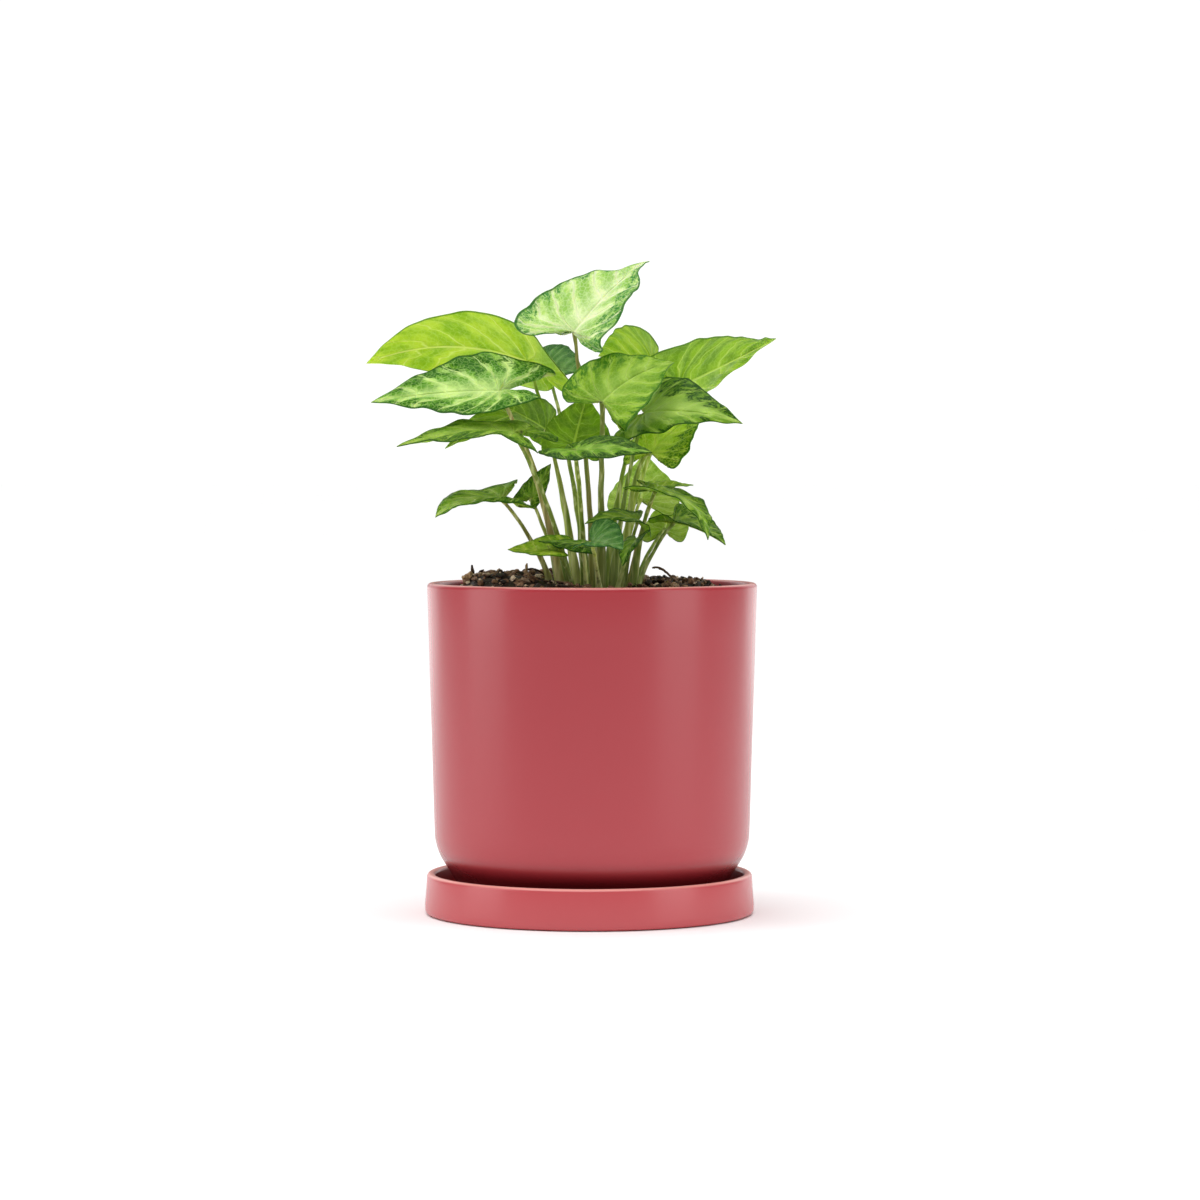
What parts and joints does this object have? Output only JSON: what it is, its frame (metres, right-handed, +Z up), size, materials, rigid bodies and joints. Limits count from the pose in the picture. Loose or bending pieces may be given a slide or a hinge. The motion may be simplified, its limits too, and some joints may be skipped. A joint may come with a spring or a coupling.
{
  "type": "potted syngonium",
  "caption": "Arrowhead-leaved foliage plant in a plain cylindrical glazed ceramic pot that stands on a matching low saucer.",
  "frame": {"origin": "centre of the saucer's flat underside, on the table", "axes": "+Z up, -Y toward the viewer of the picture, +X to the viewer's right"},
  "size_m": [0.1932, 0.1518, 0.3002],
  "materials": {
    "glaze": "satin rose red glaze",
    "soil": "rough dark bark and peat",
    "bark": "rough dry bark",
    "stem": "satin pale green",
    "leaf_lime": "satin yellow green",
    "leaf_variegated": "satin pale centre with green mottled edge",
    "leaf_deep": "satin deep green"
  },
  "bodies": {
    "root": {"bark_chip": "bark", "bark_sliver": "bark", "bark_shard": "bark", "root_arc": "bark", "twig": "bark", "saucer": "glaze", "pot": "glaze", "soil": "soil", "stem_high_left": "stem", "leaf_high_left": "leaf_lime", "stem_pale_left": "stem", "leaf_pale_left": "leaf_variegated", "stem_level_left": "stem", "leaf_level_left": "leaf_deep", "stem_crown": "stem", "leaf_crown": "leaf_variegated", "stem_front": "stem", "leaf_front": "leaf_variegated", "stem_high_right": "stem", "leaf_high_right": "leaf_lime", "stem_mottled_right": "stem", "leaf_mottled_right": "leaf_variegated", "stem_broad_right": "stem", "leaf_broad_right": "leaf_lime", "stem_dark_centre": "stem", "leaf_dark_centre": "leaf_deep", "stem_far_round": "stem", "leaf_far_round": "leaf_lime", "stem_small_left": "stem", "leaf_small_left": "leaf_deep", "stem_low_left": "stem", "leaf_low_left": "leaf_lime", "stem_low_front": "stem", "leaf_low_front": "leaf_deep", "stem_blue_front": "stem", "leaf_blue_front": "leaf_deep", "stem_low_centre": "stem", "leaf_low_centre": "leaf_deep", "stem_hook_right": "stem", "leaf_hook_right": "leaf_deep", "stem_low_right": "stem", "leaf_low_right": "leaf_deep", "stem_back_dark": "stem", "leaf_back_dark": "leaf_deep", "stem_under_left": "stem", "leaf_under_left": "leaf_lime", "stem_under_centre": "stem", "leaf_under_centre": "leaf_lime", "stem_lime_left": "stem", "leaf_lime_left": "leaf_lime", "stem_back_lime": "stem", "leaf_back_lime": "leaf_lime", "stem_back_low": "stem", "leaf_back_low": "leaf_lime", "stem_rolled": "stem", "leaf_rolled": "leaf_lime", "stem_dark_low": "stem", "leaf_dark_low": "leaf_deep", "stem_folded_left": "stem", "leaf_folded_left": "leaf_deep"}
  },
  "joints": []
}
